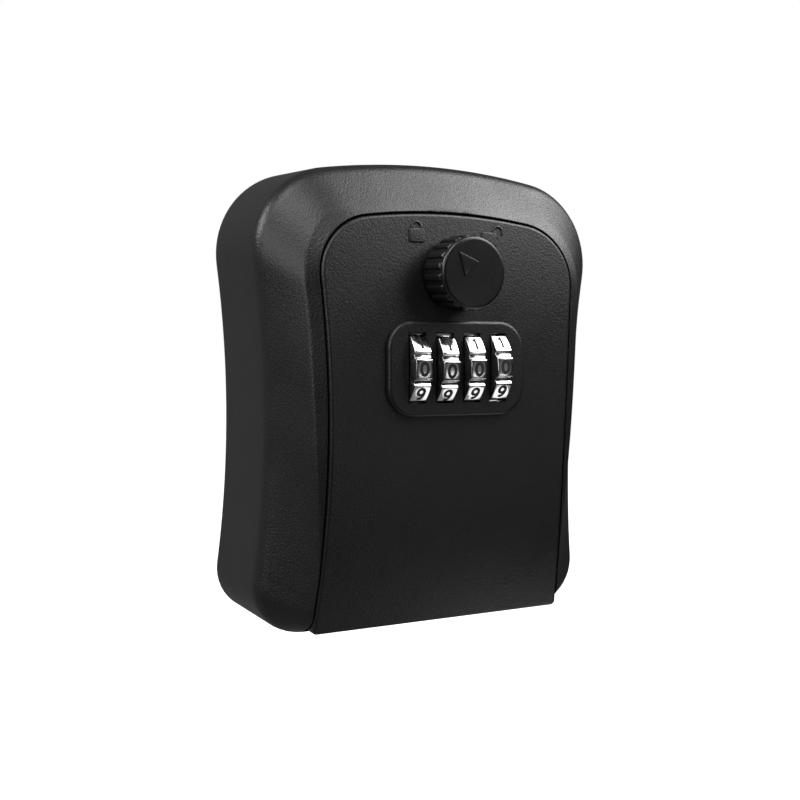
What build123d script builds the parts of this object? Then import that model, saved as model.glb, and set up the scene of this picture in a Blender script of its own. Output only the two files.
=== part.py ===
"""Key lock box with a dial-lock door: millimetres, +Z up, the wall behind it at y = 0.

The origin is the centre of the four wall-screw holes on the back face. The box stands out
from the wall towards -Y, so a depth here is a distance from the wall, and y = -depth.
"""

import os
from math import atan2, copysign, cos, degrees, hypot, pi, radians, sin, sqrt

from build123d import *

# Case: hollow-sided outline, measured from the wall plane
CASE = dict(waist=45.5, waist_z=-9.6, side_r=297.2, corner_r=21.6, dome_r=193.8, top=59.0,
            bottom=-59.0, bottom_r=12.2)
RIDGE_DEPTH = 27.4
DRAFT = 0.55
RIDGE_R = 4.8
# Outline that the bevel of the rim runs towards, in front of the finished rim
BEVEL = dict(waist=35.4, waist_z=6.0, side_r=-290.0, corner_r=14.0, dome_r=150.0, top=37.7,
             bottom=-54.8, bottom_r=1.0)
BEVEL_DEPTH = 42.0
# Domed front face: a large cylinder along X
DOME_R = 285.0
DOME_DEPTH = 40.9
DOME_Z = -5.2
RIM_DROP = 0.4
WALL = 2.5
FLOOR_DEPTH = 4.0
CORE_DEPTH = 23.0
RIB = 1.6
CORE_FLOOR_Z = -46.0
RIB_Z = (-24.0, -8.0, 8.0, 22.0)
TOP_RIB_X = 26.0
KEY_TRAY_BOTTOM = -51.5
FIT = 0.1
SLACK = 0.2
BEYOND = 60.0
DOORWAY_BOTTOM = -70.0

# Door: the outline of its face, and the box behind it that holds the lock
DOOR = dict(waist=33.8, waist_z=-14.1, side_r=486.3, corner_r=14.7, dome_r=163.0, top=45.65,
            bottom=-57.1, bottom_r=1.2)
GAP = 0.4
FACE_BACK = 33.0
TRAY_BACK = 22.4
TRAY_INSET = 1.2
TRAY_BOTTOM = -50.0
TRAY_WALL = 2.2
SKIN = 2.5
EDGE_R = 0.8
POCKET_BOTTOM = -55.5
BARREL_HOLLOW_X = 26.0
SYMBOL_UP = 0.15
LOCKED_X = -10.0
OPEN_X = 10.8
SYMBOL_Z = 40.0
SHACKLE_OPEN = 2.7

# Hinge
HINGE_DEPTH = 32.0
HINGE_Z = -50.5
PIN_R = 1.2
RUN = 0.06
BARREL_R = 7.8
BARREL_GAP = 0.4
BARREL_X = 34.6
FOOT_X = 35.8
PIN_IN = 30.0
PIN_OUT = 38.8

# Wall fixing and back plate
WALL_SCREW_X = 44.0
WALL_SCREW_Z = 64.0
WALL_SCREW_R = 2.5
PLATE = 1.5
PLATE_INSET = 1.2
PLATE_SCREWS = [(42.0, 30.0), (-42.0, 30.0), (40.6, -36.0), (-40.6, -36.0)]
PLATE_SCREW_TIP = 10.0
PLATE_SCREW_HOLE = 12.0
POST_R = 3.0
SCREW_R = 1.1
HEAD_R = 2.3
HEAD_SINK = 1.2

# Strike
STRIKE_X = 10.0
STRIKE_LIP_Z = 45.2
STRIKE_TOP = 48.0
STRIKE_BACK = 10.2
STRIKE_FRONT = 23.8
STRIKE_T = 1.6
STRIKE_SCREW_X = 6.0
STRIKE_SCREW_DEPTH = 15.5
STRIKE_SCREW_IN = 3.4
STRIKE_BLOCK_BOTTOM = 40.0
STRIKE_BLOCK_TOP = 53.0
STRIKE_BLOCK_X = 13.0

# Dial wheels
AXLE_DEPTH = 35.25
AXLE_Z = 7.4
AXLE_R = 1.5
PITCH = 7.7
WHEELS = [(i - 1.5) * PITCH for i in range(4)]
WHEEL_W = 4.5
DIGITS = 10
LAND = 10.35
LAND_HALF = 2.35
GROOVE = 9.8
WHEEL_BORE = 3.35
SLOT_R = 10.9
SLOT_W = 5.0
# Raised panel round the wheels
BOSS_W = 38.8
BOSS_H = 23.6
BOSS_Z = 7.5
BOSS_R = 7.0
BOSS_UP = 1.4
BOSS_EDGE_R = 0.9

# Gate sleeves
HUB_R = 3.3
SLEEVE_BORE = 1.6
DISC_R = 4.8
DISC_T = 1.2
DISC_X = WHEEL_W / 2 + 0.3
GATE_W = 2.4
GATE_DEEP = 1.2
LUG_R = 4.0
LUG = 1.0
LUG_LONG = 1.2
NOTCH_R = 3.85
NOTCH_DEEP = 1.6
SHIFT = 1.4

# Fence bar above the wheels
FENCE_DEPTH = 32.0
FENCE_T = 3.0
FENCE_Z = 20.1
FENCE_H = 5.0
FENCE_TRAVEL = 1.6
TOOTH_T = 1.0
TOOTH_TIP = AXLE_Z + DISC_R + 0.3 + FENCE_TRAVEL
TOOTH_BACK = 33.4

# Knob and its shaft
KNOB_Z = 31.0
KNOB_R = 8.9
KNOB_BACK = 38.5
KNOB_FRONT = 48.5
KNOB_EDGE_R = 0.6
SEAT_R = 9.35
SEAT_DEPTH = 38.2
SEAT_BOSS_R = 7.0
SEAT_BOSS_BACK = 35.2
FLUTES = 20
FLUTE_R = 0.95
FLUTE_FROM = 39.6
FLUTE_TO = 47.2
SHAFT_R = 4.0
SHAFT_FLAT = 3.2
SHAFT_BACK = 20.5
SHAFT_FRONT = 44.5
BUSH_R = 5.0
TANG = 5.0
CAM_R = 6.5
CAM_OFFSET = 0.8
CAM_T = 2.5
TONGUE_T = 1.9
TONGUE_REACH = 13.2
TONGUE_END_R = 4.6
TONGUE_HUB_R = 6.0
WASHER_R = 4.5
WASHER_T = 0.6
TONGUE_SCREW_R = 1.5
TONGUE_HEAD_R = 2.9
TONGUE_HEAD = 1.8
CROSS = 2.4
CROSS_W = 0.35
CROSS_DEEP = 0.8

# Lock chassis
CHASSIS_BACK = 22.6
CHASSIS_T = 1.6
CHASSIS_X = 28.0
CHASSIS_Z = (-20.0, 23.5)
NECK_X = 12.0
NECK_Z = (23.0, 38.0)
CHEEKS = [(-19.1, -17.3), (18.6, 20.4)]
CHEEK_FRONT = 37.4
CHEEK_LOW_Z = (2.5, 12.3)
CHEEK_HIGH_Z = (12.0, 27.5)
CHASSIS_SCREWS = [(23.5, -15.0), (-23.5, -15.0), (25.0, 14.0), (-25.0, 14.0)]
CHASSIS_SCREW_TIP = 33.0
CHASSIS_SCREW_HOLE = 34.0
CHASSIS_POST_FRONT = 38.5
COVER_BACK = 20.9
COVER_T = 1.5
COVER_SCREWS = [(25.0, 30.0), (-25.0, 30.0), (26.0, -41.5), (-26.0, -41.5)]
COVER_SCREW_TIP = 31.0
COVER_SCREW_HOLE = 32.0
COVER_POST_FRONT = 37.0
LEDGE_Z = 13.8
LEDGE_T = 1.0
LEDGE_X = (-14.2, 15.6)
DETENT_SCREWS = [(-7.7, 20.0), (7.7, 20.0)]
DETENT_SCREW_R = 0.8
DETENT_T = 0.3
# Springs over the ledges, and the axle's end grooves
SPRING_X = (-15.75, 17.1)
SPRING_DEPTH = 33.5
SPRING_R = 1.0
SPRING_WIRE_R = 0.2
SLEEVE_SPRING_R = 2.3
SLEEVE_SPRING_WIRE_R = 0.25
CLIP_T = 0.5
CLIP_GROOVE = 0.6

# Reset lever and fork
TAB_X = -6.0
TAB_Z = -14.0
TAB = 4.0
TAB_BACK = 19.3
TAB_ROOM = 2.3
LEVER_TRAVEL = 4.0
LEVER_FLANGE = 8.0
LEVER_T = 1.0
PEG_R = 1.0
FORK_X = -16.9
FORK_T = 1.4
FORK_DEPTH = 25.7
FORK_FRONT = 37.0
FORK_TOP = 11.4


def draw_outline(shape, grow=0.0, mode=Mode.ADD):
    """Adds a closed outline to the sketch in hand, grown all round by the given amount."""
    waist, side_r = shape["waist"] + grow, shape["side_r"] - grow
    corner_r, bottom_r = shape["corner_r"] + grow, max(shape["bottom_r"] + grow, 0.3)
    dome_r, top, bottom = shape["dome_r"] + grow, shape["top"] + grow, shape["bottom"] - grow
    side = (waist + side_r, shape["waist_z"])
    dome = (0.0, top - dome_r)
    inward = -copysign(1.0, side_r)
    corner = circle_meeting(side, abs(side_r + corner_r), dome, dome_r - corner_r)
    low_z = bottom + bottom_r
    low = (side[0] + inward * sqrt((side_r + bottom_r) ** 2 - (low_z - side[1]) ** 2), low_z)
    start, foot = (0.0, bottom), (low[0], bottom)
    heel = towards(side, low, abs(side_r))
    shoulder = towards(side, corner, abs(side_r))
    crown = towards(dome, corner, dome_r)
    with BuildLine() as half:
        Line(start, foot)
        arc(low, bottom_r, foot, heel)
        arc(side, abs(side_r), heel, shoulder)
        arc(corner, corner_r, shoulder, crown)
        arc(dome, dome_r, crown, (0.0, top))
        mirror(half.line, about=Plane.YZ)
    make_face(half.edges(), mode=mode)


def circle_meeting(a, a_r, b, b_r):
    """The right-hand point at distance a_r from a and b_r from b."""
    dx, dz = b[0] - a[0], b[1] - a[1]
    apart = hypot(dx, dz)
    along = (a_r**2 - b_r**2 + apart**2) / (2 * apart)
    across = sqrt(a_r**2 - along**2)
    base = (a[0] + along * dx / apart, a[1] + along * dz / apart)
    ends = [(base[0] + s * across * dz / apart, base[1] - s * across * dx / apart) for s in (-1, 1)]
    return max(ends, key=lambda p: p[1])


def towards(centre, point, distance):
    """The point at a distance from a centre, in the direction of another point."""
    dx, dz = point[0] - centre[0], point[1] - centre[1]
    return (centre[0] + distance * dx / hypot(dx, dz), centre[1] + distance * dz / hypot(dx, dz))


def arc(centre, radius, start, end):
    """The shorter arc of a circle between two of its points."""
    middle = ((start[0] + end[0]) / 2, (start[1] + end[1]) / 2)
    ThreePointArc(start, towards(centre, middle, radius), end)


def cut_to_dome(drop):
    """Cuts the part in hand back to a surface a distance behind the domed face."""
    with BuildSketch(Plane.YZ) as profile:
        with Locations((-60, 0)):
            Rectangle(80, 150)
        with Locations((DOME_R - DOME_DEPTH, DOME_Z)):
            Circle(DOME_R - drop, mode=Mode.SUBTRACT)
    extrude(profile.sketch, amount=80, both=True, mode=Mode.SUBTRACT)


def slab(outline, back, thick, grow=0.0, mode=Mode.ADD):
    """Extrudes an outline forwards from a depth."""
    with BuildSketch(Plane.XZ.offset(back)) as profile:
        draw_outline(outline, grow)
    extrude(profile.sketch, amount=thick, mode=mode)


def block(x, depth, z, mode=Mode.ADD):
    """Box between pairs of x, depth and z limits."""
    with BuildSketch(Plane.XZ.offset(depth[0])) as profile:
        with Locations(((x[0] + x[1]) / 2, (z[0] + z[1]) / 2)):
            Rectangle(x[1] - x[0], z[1] - z[0])
    extrude(profile.sketch, amount=depth[1] - depth[0], mode=mode)


def posts(points, radius, back, front, mode=Mode.ADD):
    """Round posts, or holes, between two depths."""
    with BuildSketch(Plane.XZ.offset(back)) as profile:
        with Locations(*points):
            Circle(radius)
    extrude(profile.sketch, amount=front - back, mode=mode)


def bar(depth, z, radius, x, mode=Mode.ADD):
    """Round bar along X between two x limits."""
    with BuildSketch(Plane.YZ.offset(x[0])) as profile:
        with Locations((-depth, z)):
            Circle(radius)
    extrude(profile.sketch, amount=x[1] - x[0], mode=mode)


def cone_heads(points, back, small_r, big_r, high, mode=Mode.ADD):
    """Countersunk heads, or their seats, wide at the given depth and narrow in front of it."""
    with BuildSketch(Plane.XZ.offset(back)) as profile:
        with Locations(*points):
            Circle(big_r)
    extrude(profile.sketch, amount=high, taper=degrees(atan2(big_r - small_r, high)), mode=mode)


os.makedirs("parts", exist_ok=True)

POCKET = DOOR | dict(bottom=POCKET_BOTTOM, bottom_r=3.0)
TRAY = DOOR | dict(bottom=TRAY_BOTTOM - TRAY_INSET, bottom_r=4.0)
KEY_TRAY = DOOR | dict(bottom=KEY_TRAY_BOTTOM, bottom_r=3.0)
DOORWAY = DOOR | dict(bottom=DOORWAY_BOTTOM)
STRIKE_SCREWS = [(x, -STRIKE_SCREW_DEPTH) for x in (-STRIKE_SCREW_X, STRIKE_SCREW_X)]
WALL_SCREWS = [(sx * WALL_SCREW_X / 2, sz * WALL_SCREW_Z / 2) for sx in (-1, 1) for sz in (-1, 1)]

# ---------------------------------------------------------------- case side

with BuildPart() as case:
    with BuildSketch(Plane.XZ):
        draw_outline(CASE)
    with BuildSketch(Plane.XZ.offset(RIDGE_DEPTH)):
        draw_outline(CASE, -DRAFT)
    loft(ruled=True)
    with BuildSketch(Plane.XZ.offset(RIDGE_DEPTH)):
        draw_outline(CASE, -DRAFT)
    with BuildSketch(Plane.XZ.offset(BEVEL_DEPTH)):
        draw_outline(BEVEL)
    loft(ruled=True)
    ridge = case.edges().filter_by_position(Axis.Y, -RIDGE_DEPTH - 0.01, -RIDGE_DEPTH + 0.01)
    fillet(ridge, RIDGE_R)
    cut_to_dome(RIM_DROP)
    # opening for the door, open at the bottom in front of the hinge
    slab(POCKET, CORE_DEPTH, BEYOND, GAP, mode=Mode.SUBTRACT)
    slab(DOORWAY, HINGE_DEPTH, BEYOND, GAP, mode=Mode.SUBTRACT)
    bar(HINGE_DEPTH, HINGE_Z, BARREL_R + BARREL_GAP, (-BARREL_X - GAP, BARREL_X + GAP), mode=Mode.SUBTRACT)
    # room behind the hinge axis for the foot of the door as it swings
    with BuildSketch(Plane.YZ):
        with Locations((-HINGE_DEPTH, HINGE_Z)):
            Circle(BARREL_R + BARREL_GAP)
        with Locations((-HINGE_DEPTH - BARREL_R, HINGE_Z)):
            Rectangle(2 * BARREL_R, 4 * BARREL_R, mode=Mode.SUBTRACT)
    extrude(amount=FOOT_X + GAP, both=True, mode=Mode.SUBTRACT)
    # recess for the back plate, room for the key tray, and the cored space round it
    slab(CASE, 0, PLATE, -PLATE_INSET, mode=Mode.SUBTRACT)
    slab(KEY_TRAY, PLATE, CORE_DEPTH - PLATE, GAP + WALL + FIT, mode=Mode.SUBTRACT)
    with BuildSketch(Plane.XZ.offset(PLATE)):
        draw_outline(CASE, -WALL - 0.2)
        draw_outline(KEY_TRAY, GAP + WALL, mode=Mode.SUBTRACT)
        with Locations((0, CORE_FLOOR_Z - 20)):
            Rectangle(120, 40, mode=Mode.SUBTRACT)
        with Locations(*[(0, z) for z in RIB_Z]):
            Rectangle(120, RIB, mode=Mode.SUBTRACT)
        with Locations((-TOP_RIB_X, 50), (TOP_RIB_X, 50)):
            Rectangle(RIB, 30, mode=Mode.SUBTRACT)
        with Locations(*PLATE_SCREWS):
            Circle(POST_R, mode=Mode.SUBTRACT)
    extrude(amount=CORE_DEPTH - PLATE, mode=Mode.SUBTRACT)
    posts(PLATE_SCREWS, SCREW_R, PLATE, PLATE_SCREW_HOLE, mode=Mode.SUBTRACT)
    # room for the strike and the block that it is screwed to
    block((-STRIKE_BLOCK_X - FIT, STRIKE_BLOCK_X + FIT), (PLATE, CORE_DEPTH),
          (STRIKE_BLOCK_BOTTOM, STRIKE_BLOCK_TOP + FIT), mode=Mode.SUBTRACT)
    block((-STRIKE_X - SLACK, STRIKE_X + SLACK), (CORE_DEPTH, STRIKE_FRONT + SLACK),
          (STRIKE_BLOCK_BOTTOM, STRIKE_TOP), mode=Mode.SUBTRACT)
    bar(HINGE_DEPTH, HINGE_Z, PIN_R, (-PIN_OUT, PIN_OUT), mode=Mode.SUBTRACT)
case.part.label = "case"
export_step(case.part, "parts/case.step")

with BuildPart() as key_tray:
    slab(KEY_TRAY, PLATE, CORE_DEPTH - PLATE, GAP + WALL)
    block((-STRIKE_BLOCK_X, STRIKE_BLOCK_X), (PLATE, CORE_DEPTH), (STRIKE_BLOCK_BOTTOM, STRIKE_BLOCK_TOP))
    slab(KEY_TRAY, FLOOR_DEPTH, BEYOND, GAP, mode=Mode.SUBTRACT)
    posts(WALL_SCREWS, WALL_SCREW_R, PLATE, FLOOR_DEPTH, mode=Mode.SUBTRACT)
    block((-STRIKE_X - SLACK, STRIKE_X + SLACK), (STRIKE_BACK - SLACK, CORE_DEPTH),
          (STRIKE_BLOCK_BOTTOM, STRIKE_TOP), mode=Mode.SUBTRACT)
    with BuildSketch(Plane.XY.offset(STRIKE_TOP)):
        with Locations(*STRIKE_SCREWS):
            Circle(SCREW_R)
    extrude(amount=STRIKE_SCREW_IN + SLACK, mode=Mode.SUBTRACT)
key_tray.part.label = "key_tray"
export_step(key_tray.part, "parts/key_tray.step")

with BuildPart() as back_plate:
    slab(CASE, 0, PLATE, -PLATE_INSET - 0.15)
    posts(WALL_SCREWS, WALL_SCREW_R, 0, PLATE, mode=Mode.SUBTRACT)
    posts(PLATE_SCREWS, SCREW_R + 0.3, 0, PLATE, mode=Mode.SUBTRACT)
    cone_heads(PLATE_SCREWS, 0, SCREW_R + 0.3, HEAD_R + 0.1, HEAD_SINK, mode=Mode.SUBTRACT)
back_plate.part.label = "back_plate"
export_step(back_plate.part, "parts/back_plate.step")

with BuildPart() as back_plate_screws:
    posts(PLATE_SCREWS, SCREW_R, 0.2, PLATE_SCREW_TIP)
    cone_heads(PLATE_SCREWS, 0.1, SCREW_R, HEAD_R - 0.1, 1.0)
back_plate_screws.part.label = "back_plate_screws"
export_step(back_plate_screws.part, "parts/back_plate_screws.step")

with BuildPart() as strike_plate:
    block((-STRIKE_X, STRIKE_X), (STRIKE_BACK, STRIKE_FRONT), (STRIKE_TOP - STRIKE_T, STRIKE_TOP))
    block((-STRIKE_X, STRIKE_X), (STRIKE_FRONT - STRIKE_T, STRIKE_FRONT), (STRIKE_LIP_Z, STRIKE_TOP))
    with BuildSketch(Plane.XY.offset(STRIKE_TOP - STRIKE_T)):
        with Locations(*STRIKE_SCREWS):
            Circle(SCREW_R + SLACK)
    extrude(amount=STRIKE_T, mode=Mode.SUBTRACT)
strike_plate.part.label = "strike_plate"
export_step(strike_plate.part, "parts/strike_plate.step")

with BuildPart() as strike_screws:
    with BuildSketch(Plane.XY.offset(STRIKE_TOP - STRIKE_T)):
        with Locations(*STRIKE_SCREWS):
            Circle(SCREW_R)
    extrude(amount=STRIKE_T + STRIKE_SCREW_IN)
    with BuildSketch(Plane.XY.offset(STRIKE_TOP - STRIKE_T)):
        with Locations(*STRIKE_SCREWS):
            Circle(HEAD_R - 0.3)
    extrude(amount=-1.0)
strike_screws.part.label = "strike_screws"
export_step(strike_screws.part, "parts/strike_screws.step")

with BuildPart() as hinge_pins:
    bar(HINGE_DEPTH, HINGE_Z, PIN_R, (PIN_IN, PIN_OUT - 0.1))
    bar(HINGE_DEPTH, HINGE_Z, PIN_R, (-PIN_OUT + 0.1, -PIN_IN))
hinge_pins.part.label = "hinge_pins"
export_step(hinge_pins.part, "parts/hinge_pins.step")

# ---------------------------------------------------------------- door

with BuildPart() as window_panel:
    with BuildSketch(Plane.XZ.offset(FACE_BACK + 5.5)):
        with Locations((0, BOSS_Z)):
            RectangleRounded(BOSS_W, BOSS_H, BOSS_R)
    extrude(amount=15)
    cut_to_dome(-BOSS_UP)
    fillet(window_panel.faces().sort_by(Axis.Y)[0].edges(), BOSS_EDGE_R)


def padlock(x, open_by):
    """Adds a padlock symbol to the sketch in hand, its shackle swung out by a distance."""
    with Locations((x, SYMBOL_Z)):
        RectangleRounded(4.4, 3.4, 0.7)
    with Locations((x + open_by, SYMBOL_Z + 2.0)):
        Circle(1.65)
        Circle(1.05, mode=Mode.SUBTRACT)
    with Locations((x + open_by, SYMBOL_Z + 1.4)):
        Rectangle(2.1, 1.2, mode=Mode.SUBTRACT)
    with Locations(*[(x + open_by + s * 1.35, SYMBOL_Z + 1.7) for s in (-1, 1)]):
        Rectangle(0.6, 0.7)


with BuildPart() as symbols:
    with BuildSketch(Plane.XZ.offset(FACE_BACK + 2)):
        padlock(LOCKED_X, 0.0)
        padlock(OPEN_X, SHACKLE_OPEN)
    extrude(amount=DOME_DEPTH - FACE_BACK)
    cut_to_dome(-SYMBOL_UP)

with BuildPart() as door_hollow:
    slab(TRAY, TRAY_BACK, DOME_DEPTH - TRAY_BACK, -TRAY_INSET - TRAY_WALL)
    bar(HINGE_DEPTH, HINGE_Z, BARREL_R - TRAY_WALL, (-BARREL_HOLLOW_X, BARREL_HOLLOW_X))
    block((-BARREL_HOLLOW_X, BARREL_HOLLOW_X), (HINGE_DEPTH - 5, HINGE_DEPTH + 3), (HINGE_Z, HINGE_Z + 8))
    cut_to_dome(SKIN)

with BuildPart() as door_panel:
    slab(DOOR, FACE_BACK, DOME_DEPTH - FACE_BACK)
    cut_to_dome(0.0)
    front = door_panel.faces().sort_by(Axis.Y)[0]
    fillet(front.edges(), EDGE_R)
    slab(TRAY, TRAY_BACK, FACE_BACK - TRAY_BACK, -TRAY_INSET)
    with BuildSketch(Plane.YZ):
        with Locations((-HINGE_DEPTH, HINGE_Z)):
            Circle(BARREL_R)
        with Locations((-HINGE_DEPTH, DOOR["bottom"] - 10)):
            Rectangle(40, 20, mode=Mode.SUBTRACT)
        with Locations((-HINGE_DEPTH - 11, HINGE_Z)):
            Rectangle(20, 40, mode=Mode.SUBTRACT)
    extrude(amount=BARREL_X, both=True)
    add(door_hollow.part, mode=Mode.SUBTRACT)
    add(window_panel.part)
    add(symbols.part)
    # knob seat and bush boss
    posts([(0, KNOB_Z)], SEAT_BOSS_R, SEAT_BOSS_BACK, SEAT_DEPTH)
    posts([(0, KNOB_Z)], SEAT_R, SEAT_DEPTH, BEYOND, mode=Mode.SUBTRACT)
    posts([(0, KNOB_Z)], BUSH_R, SEAT_BOSS_BACK - 1, BEYOND, mode=Mode.SUBTRACT)
    # wheel slots
    for x in WHEELS:
        bar(AXLE_DEPTH, AXLE_Z, SLOT_R, (x - SLOT_W / 2, x + SLOT_W / 2), mode=Mode.SUBTRACT)
    bar(AXLE_DEPTH, AXLE_Z, DISC_R + 0.35, (CHEEKS[0][1], CHEEKS[1][0]), mode=Mode.SUBTRACT)
    # screw posts
    posts(CHASSIS_SCREWS, POST_R, CHASSIS_BACK + CHASSIS_T, CHASSIS_POST_FRONT)
    posts(COVER_SCREWS, POST_R, TRAY_BACK, COVER_POST_FRONT)
    posts(CHASSIS_SCREWS, SCREW_R, CHASSIS_BACK, CHASSIS_SCREW_HOLE, mode=Mode.SUBTRACT)
    posts(COVER_SCREWS, SCREW_R, TRAY_BACK, COVER_SCREW_HOLE, mode=Mode.SUBTRACT)
    for side in ((-PIN_OUT, -PIN_IN + 0.4), (PIN_IN - 0.4, PIN_OUT)):
        bar(HINGE_DEPTH, HINGE_Z, PIN_R + RUN, side, mode=Mode.SUBTRACT)
door_panel.part.label = "door_panel"
export_step(door_panel.part, "parts/door_panel.step")

with BuildPart() as lock_chassis:
    front = CHASSIS_BACK + CHASSIS_T
    block((-CHASSIS_X, CHASSIS_X), (CHASSIS_BACK, front), CHASSIS_Z)
    block((-NECK_X, NECK_X), (CHASSIS_BACK, front), NECK_Z)
    for low, high in CHEEKS:
        block((low, high), (front, CHEEK_FRONT), CHEEK_LOW_Z)
        block((low, high), (front, FENCE_DEPTH + FENCE_T + 1.0), CHEEK_HIGH_Z)
        block((low, high), (FENCE_DEPTH - 0.15, FENCE_DEPTH + FENCE_T + 0.15),
              (FENCE_Z - FENCE_TRAVEL - 0.3, FENCE_Z + FENCE_H + 0.3), mode=Mode.SUBTRACT)
    bar(AXLE_DEPTH, AXLE_Z, AXLE_R, (-25, 25), mode=Mode.SUBTRACT)
    # ledges under the fence springs
    for ledge in ((CHEEKS[0][1], LEDGE_X[0]), (LEDGE_X[1], CHEEKS[1][0])):
        block(ledge, (FENCE_DEPTH, FENCE_DEPTH + FENCE_T), (LEDGE_Z, LEDGE_Z + LEDGE_T))
    # guides for the reset lever and fork
    for x in (TAB_X - LEVER_FLANGE / 2 - 1.5, TAB_X + LEVER_FLANGE / 2 + 0.2):
        block((x, x + 1.3), (front, front + 1.3), (-18, -5.7))
    for z in (-18.7, -6.9):
        block((-13.7, -11.8), (front, front + 3.0), (z, z + 1.5))
    block((TAB_X - TAB_ROOM, TAB_X + TAB_ROOM), (CHASSIS_BACK, front),
          (TAB_Z - TAB_ROOM, TAB_Z + TAB_ROOM + LEVER_TRAVEL), mode=Mode.SUBTRACT)
    posts([(0, KNOB_Z)], SHAFT_R + 0.3, CHASSIS_BACK, front, mode=Mode.SUBTRACT)
    posts(CHASSIS_SCREWS, SCREW_R + SLACK, CHASSIS_BACK, front, mode=Mode.SUBTRACT)
    cone_heads(CHASSIS_SCREWS, CHASSIS_BACK, SCREW_R + SLACK, HEAD_R, HEAD_SINK, mode=Mode.SUBTRACT)
    posts(DETENT_SCREWS, DETENT_SCREW_R, CHASSIS_BACK, front, mode=Mode.SUBTRACT)
lock_chassis.part.label = "lock_chassis"
export_step(lock_chassis.part, "parts/lock_chassis.step")

with BuildPart() as chassis_screws:
    posts(CHASSIS_SCREWS, SCREW_R, CHASSIS_BACK + 0.2, CHASSIS_SCREW_TIP)
    cone_heads(CHASSIS_SCREWS, CHASSIS_BACK + 0.1, SCREW_R, HEAD_R - 0.3, 0.9)
chassis_screws.part.label = "chassis_screws"
export_step(chassis_screws.part, "parts/chassis_screws.step")

with BuildPart() as inner_cover:
    slab(TRAY, COVER_BACK, COVER_T, -TRAY_INSET - 0.1)
    fillet(inner_cover.faces().sort_by(Axis.Y)[-1].edges(), 0.4)
    posts([(0, KNOB_Z)], SHAFT_R + 0.3, COVER_BACK, TRAY_BACK, mode=Mode.SUBTRACT)
    block((TAB_X - TAB_ROOM, TAB_X + TAB_ROOM), (COVER_BACK, TRAY_BACK),
          (TAB_Z - TAB_ROOM, TAB_Z + TAB_ROOM + LEVER_TRAVEL), mode=Mode.SUBTRACT)
    posts(COVER_SCREWS, SCREW_R + SLACK, COVER_BACK, TRAY_BACK, mode=Mode.SUBTRACT)
    cone_heads(COVER_SCREWS, COVER_BACK, SCREW_R + SLACK, HEAD_R, HEAD_SINK, mode=Mode.SUBTRACT)
inner_cover.part.label = "inner_cover"
export_step(inner_cover.part, "parts/inner_cover.step")

with BuildPart() as cover_screws:
    posts(COVER_SCREWS, SCREW_R, COVER_BACK + 0.2, COVER_SCREW_TIP)
    cone_heads(COVER_SCREWS, COVER_BACK + 0.1, SCREW_R, HEAD_R - 0.3, 0.9)
cover_screws.part.label = "cover_screws"
export_step(cover_screws.part, "parts/cover_screws.step")

with BuildPart() as wheel_axle:
    bar(AXLE_DEPTH, AXLE_Z, AXLE_R, (CHEEKS[0][0] - 1.6, CHEEKS[1][1] + 1.6))
    for x in (CHEEKS[0][0] - 0.7, CHEEKS[1][1] + 0.1):
        with BuildSketch(Plane.YZ.offset(x)):
            with Locations((-AXLE_DEPTH, AXLE_Z)):
                Circle(AXLE_R + 1)
                Circle(AXLE_R - 0.3, mode=Mode.SUBTRACT)
        extrude(amount=CLIP_GROOVE, mode=Mode.SUBTRACT)
wheel_axle.part.label = "wheel_axle"
export_step(wheel_axle.part, "parts/wheel_axle.step")

with BuildPart() as axle_clips:
    for x in (CHEEKS[0][0] - 0.65, CHEEKS[1][1] + 0.15):
        with BuildSketch(Plane.YZ.offset(x)):
            with Locations((-AXLE_DEPTH, AXLE_Z)):
                Circle(AXLE_R + 1.1)
                Circle(AXLE_R - 0.25, mode=Mode.SUBTRACT)
            with Locations((-AXLE_DEPTH, AXLE_Z - 2)):
                Rectangle(1.8, 4, mode=Mode.SUBTRACT)
        extrude(amount=CLIP_T)
axle_clips.part.label = "axle_clips"
export_step(axle_clips.part, "parts/axle_clips.step")

with BuildPart() as detent_spring:
    sheet = CHASSIS_BACK + CHASSIS_T
    block((-14, 14), (sheet, sheet + DETENT_T), (16.5, 22.5))
    for x in WHEELS:
        with BuildSketch(Plane.YZ.offset(x - 1.3)):
            with BuildLine():
                Polyline((-sheet, 17), (-sheet, 12.8), (-sheet - 0.45, 10.9), (-sheet - 0.1, 9.2),
                         (-sheet - 0.4, 9.2), (-sheet - 0.75, 10.9), (-sheet - 0.3, 12.8),
                         (-sheet - 0.3, 17), close=True)
            make_face()
        extrude(amount=2.6)
    posts(DETENT_SCREWS, DETENT_SCREW_R + 0.1, sheet, sheet + 1, mode=Mode.SUBTRACT)
detent_spring.part.label = "detent_spring"
export_step(detent_spring.part, "parts/detent_spring.step")

with BuildPart() as detent_screws:
    posts(DETENT_SCREWS, DETENT_SCREW_R, CHASSIS_BACK + 0.1, sheet + DETENT_T)
    posts(DETENT_SCREWS, 1.7, sheet + DETENT_T, sheet + DETENT_T + 1.0)
detent_screws.part.label = "detent_screws"
export_step(detent_screws.part, "parts/detent_screws.step")

with BuildPart() as knob_bush:
    posts([(0, KNOB_Z)], BUSH_R, SEAT_BOSS_BACK, SEAT_DEPTH)
    posts([(0, KNOB_Z)], SHAFT_R + RUN, SEAT_BOSS_BACK, SEAT_DEPTH, mode=Mode.SUBTRACT)
knob_bush.part.label = "knob_bush"
export_step(knob_bush.part, "parts/knob_bush.step")

# ---------------------------------------------------------------- knob

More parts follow.
